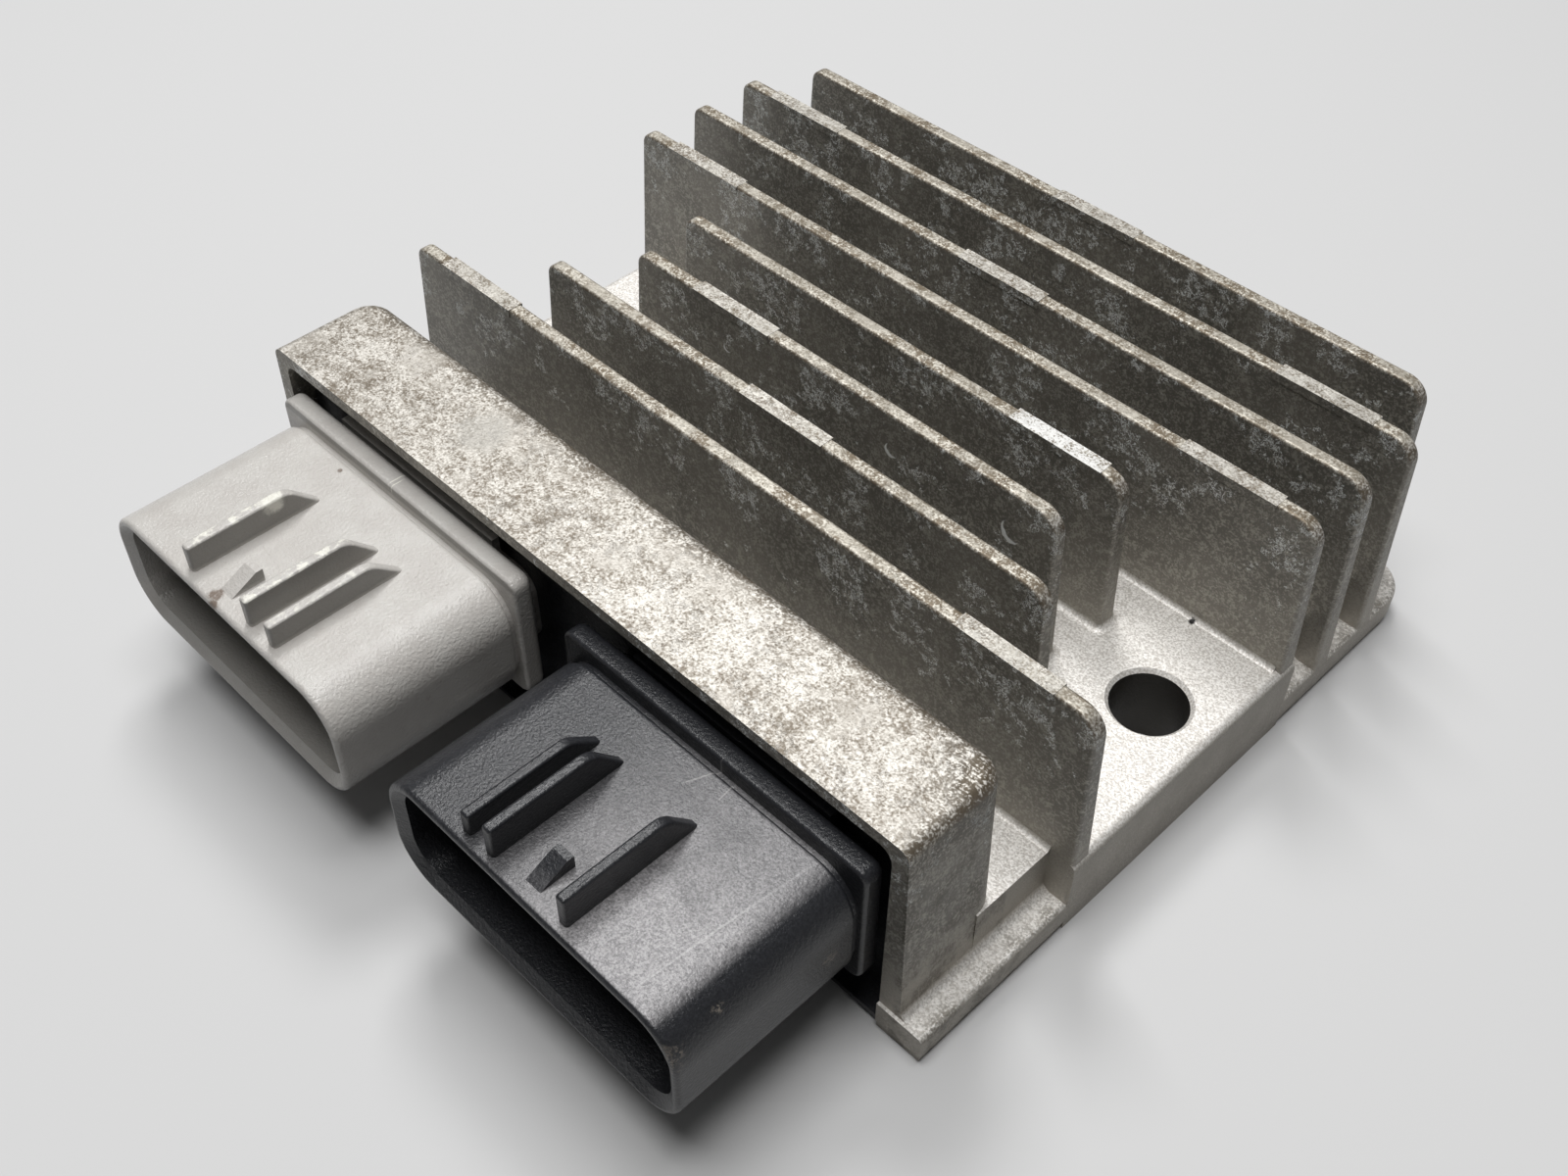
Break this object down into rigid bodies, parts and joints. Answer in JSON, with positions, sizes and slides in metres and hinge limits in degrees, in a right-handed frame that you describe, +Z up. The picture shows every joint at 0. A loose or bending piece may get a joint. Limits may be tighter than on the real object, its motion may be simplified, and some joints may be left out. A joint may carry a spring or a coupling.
{
  "type": "voltage regulator rectifier",
  "caption": "Finned die-cast voltage regulator rectifier with mounting ears and a grey and a black keyed connector side by side on one edge.",
  "frame": {"origin": "midway between the two mounting holes, on the flat underside", "axes": "+Z up out of the mounting face, X along the fins and through both mounting holes, -Y towards the connectors' mouths"},
  "size_m": [0.093, 0.0995, 0.028],
  "materials": {
    "cast_aluminium": "as-cast, matte and mottled",
    "grey_plastic": "moulded, slight sheen",
    "black_plastic": "moulded, slight sheen",
    "thermal_pad": "matte",
    "board_laminate": "satin solder mask",
    "device_plastic": "matte",
    "capacitor_body": "satin",
    "tinned_brass": "tinned, satin",
    "epoxy": "cast, self-levelled"
  },
  "bodies": {
    "root": {"heatsink_housing": "cast_aluminium", "stator_connector": "grey_plastic", "output_connector": "black_plastic", "potting_dam": "black_plastic", "insulating_sheet": "thermal_pad", "control_board": "board_laminate", "control_chip": "device_plastic", "filter_capacitor_1": "capacitor_body", "filter_capacitor_2": "capacitor_body", "stator_terminal_1": "tinned_brass", "stator_terminal_2": "tinned_brass", "stator_terminal_3": "tinned_brass", "output_terminal_1": "tinned_brass", "output_terminal_2": "tinned_brass", "output_terminal_3": "tinned_brass", "power_device_1": "device_plastic", "power_device_2": "device_plastic", "power_device_3": "device_plastic", "power_device_4": "device_plastic", "power_device_5": "device_plastic", "power_device_6": "device_plastic", "potting_resin": "epoxy"}
  },
  "joints": []
}
